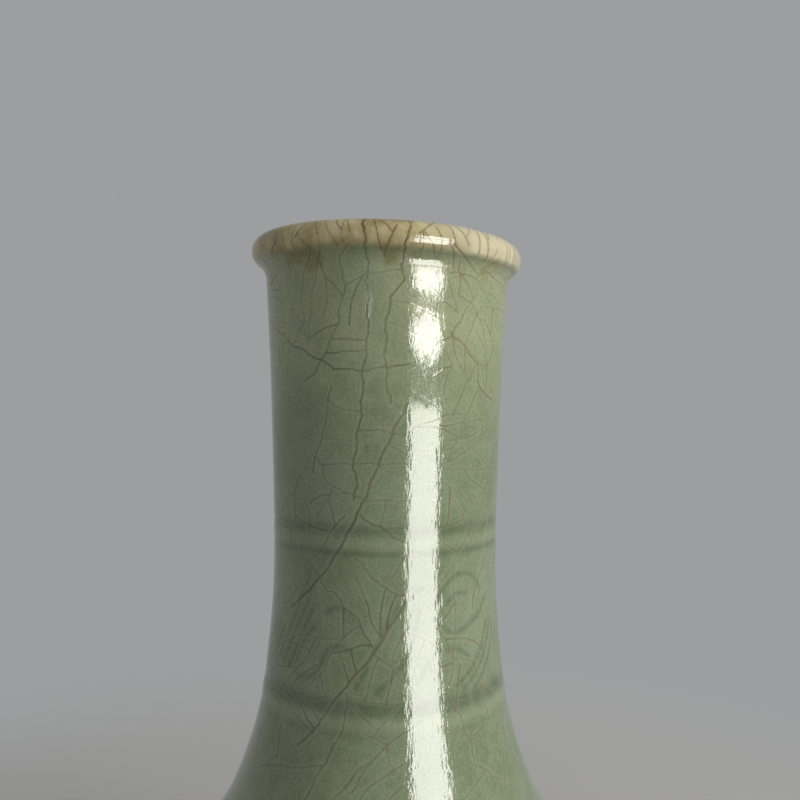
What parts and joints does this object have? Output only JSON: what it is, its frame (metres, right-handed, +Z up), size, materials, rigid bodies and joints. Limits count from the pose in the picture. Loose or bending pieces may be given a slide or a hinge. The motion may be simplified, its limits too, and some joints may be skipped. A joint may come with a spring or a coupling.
{
  "type": "long-neck vase",
  "caption": "Crackle-glazed celadon vase with a rolled lip, a tall neck between raised strings, a pear-shaped body and a ring foot, for holding flowers.",
  "frame": {"origin": "centre of the face that the foot ring rests on", "axes": "+Z up along the vase's axis, from the foot to the mouth; -Y is the side that the picture shows"},
  "size_m": [0.14, 0.14, 0.264],
  "materials": {
    "celadon_glaze": "glossy crackled celadon glaze",
    "lip_glaze": "thin pale crackled glaze",
    "bare_clay": "unglazed fired stoneware"
  },
  "bodies": {
    "root": {"foot_ring": "bare_clay", "base_disc": "celadon_glaze", "lower_body": "celadon_glaze", "shoulder": "celadon_glaze", "lower_string": "celadon_glaze", "lower_neck": "celadon_glaze", "upper_string": "celadon_glaze", "upper_neck": "celadon_glaze", "mouth_rim": "lip_glaze"}
  },
  "joints": []
}
